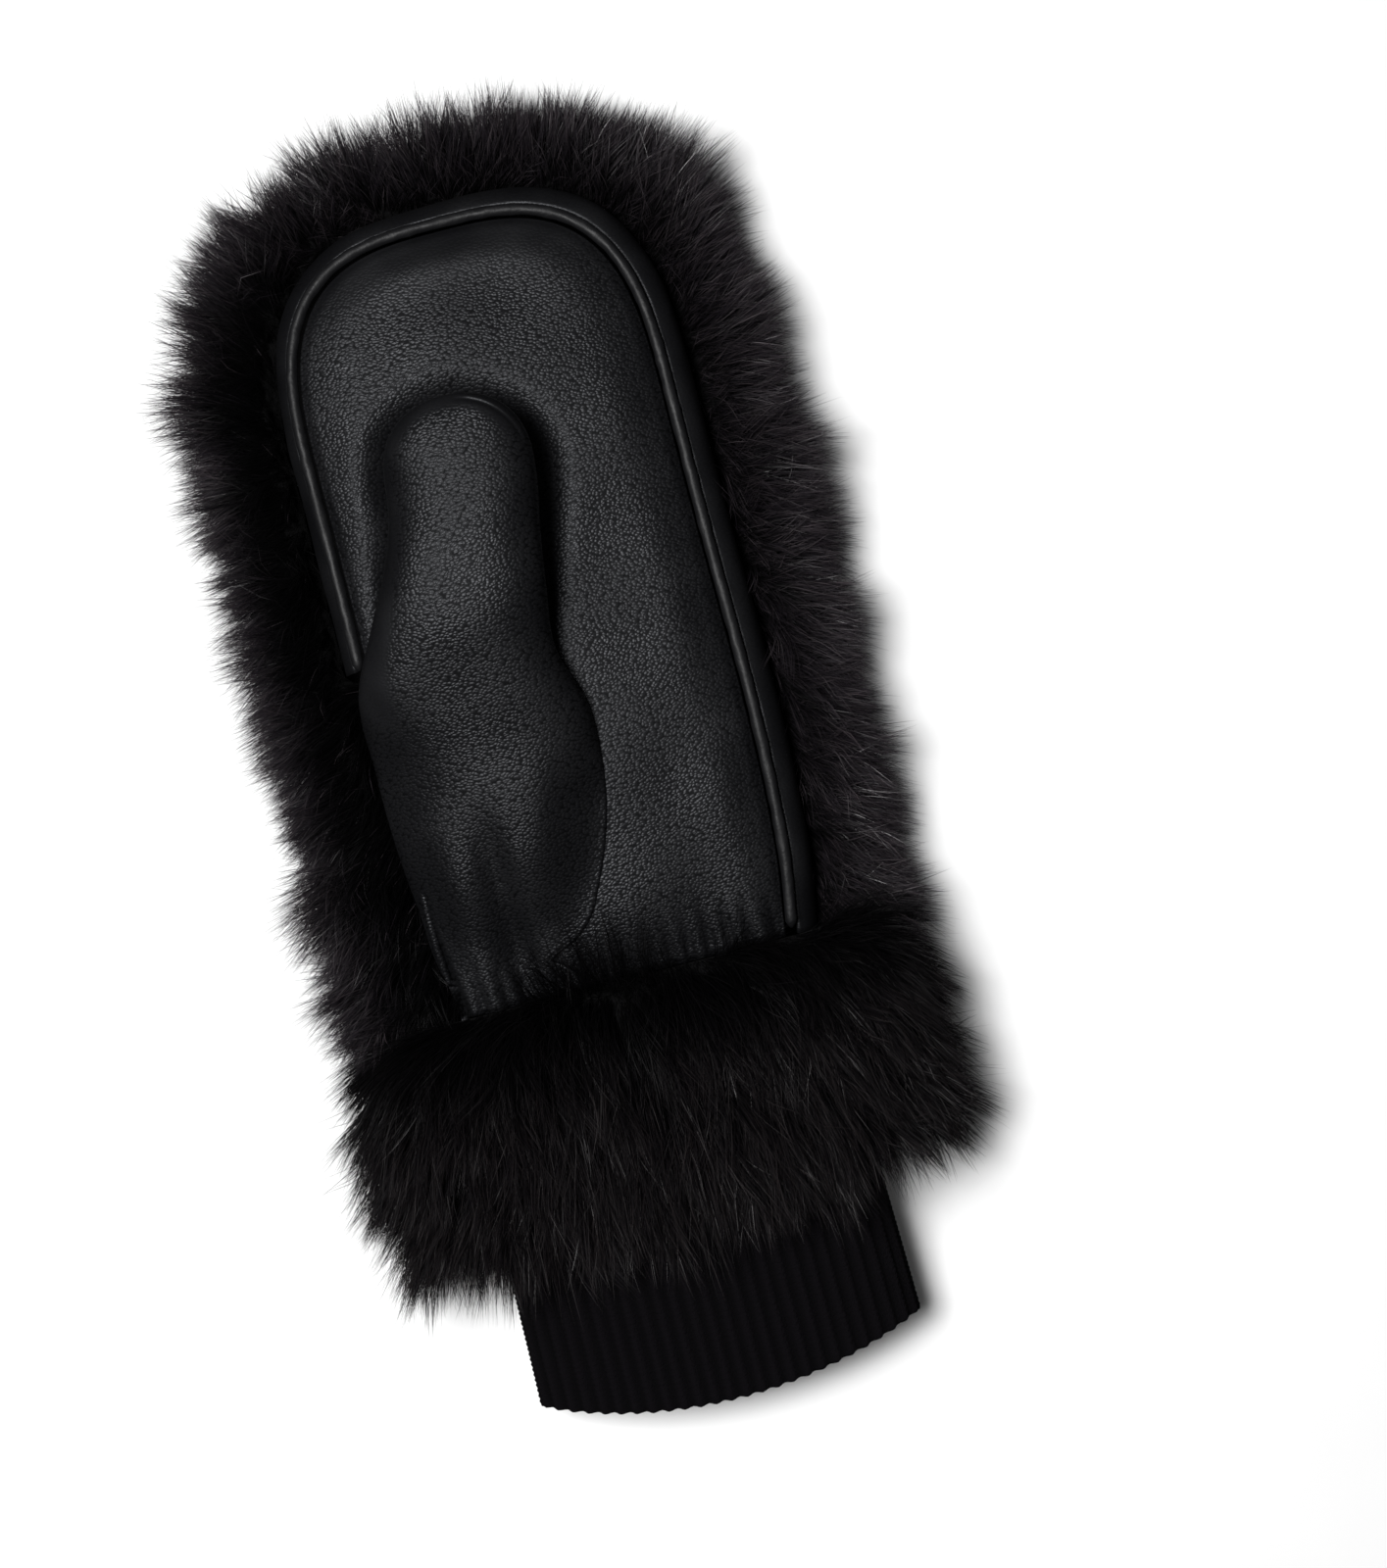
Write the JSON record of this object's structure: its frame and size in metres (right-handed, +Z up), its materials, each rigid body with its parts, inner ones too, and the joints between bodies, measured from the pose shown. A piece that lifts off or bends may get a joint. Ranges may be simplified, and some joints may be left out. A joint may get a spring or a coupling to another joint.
{
  "type": "ski mitten",
  "caption": "Left-hand ski mitten, palm up: padded leather palm and thumb with a piped edge, deep pile back and gauntlet, and a rib-knitted cuff.",
  "frame": {"origin": "middle of the bounding box in plan, on the surface that the mitten lies on", "axes": "+Y from the cuff to the fingertips, +X from the thumb's side to the little finger's, +Z up out of the palm"},
  "size_m": [0.1698, 0.3576, 0.0712],
  "materials": {
    "leather": "fine pebble grain, soft sheen",
    "piping": "smooth, satin",
    "fur": "long soft pile with fine sheen",
    "knit": "matt rib knit"
  },
  "bodies": {
    "root": {"palm_panel": "leather", "side_band": "leather", "piping": "piping", "thumb_front": "leather", "thumb_back": "leather", "fur_back": "fur", "fur_gauntlet": "fur", "rib_cuff": "knit"}
  },
  "joints": []
}
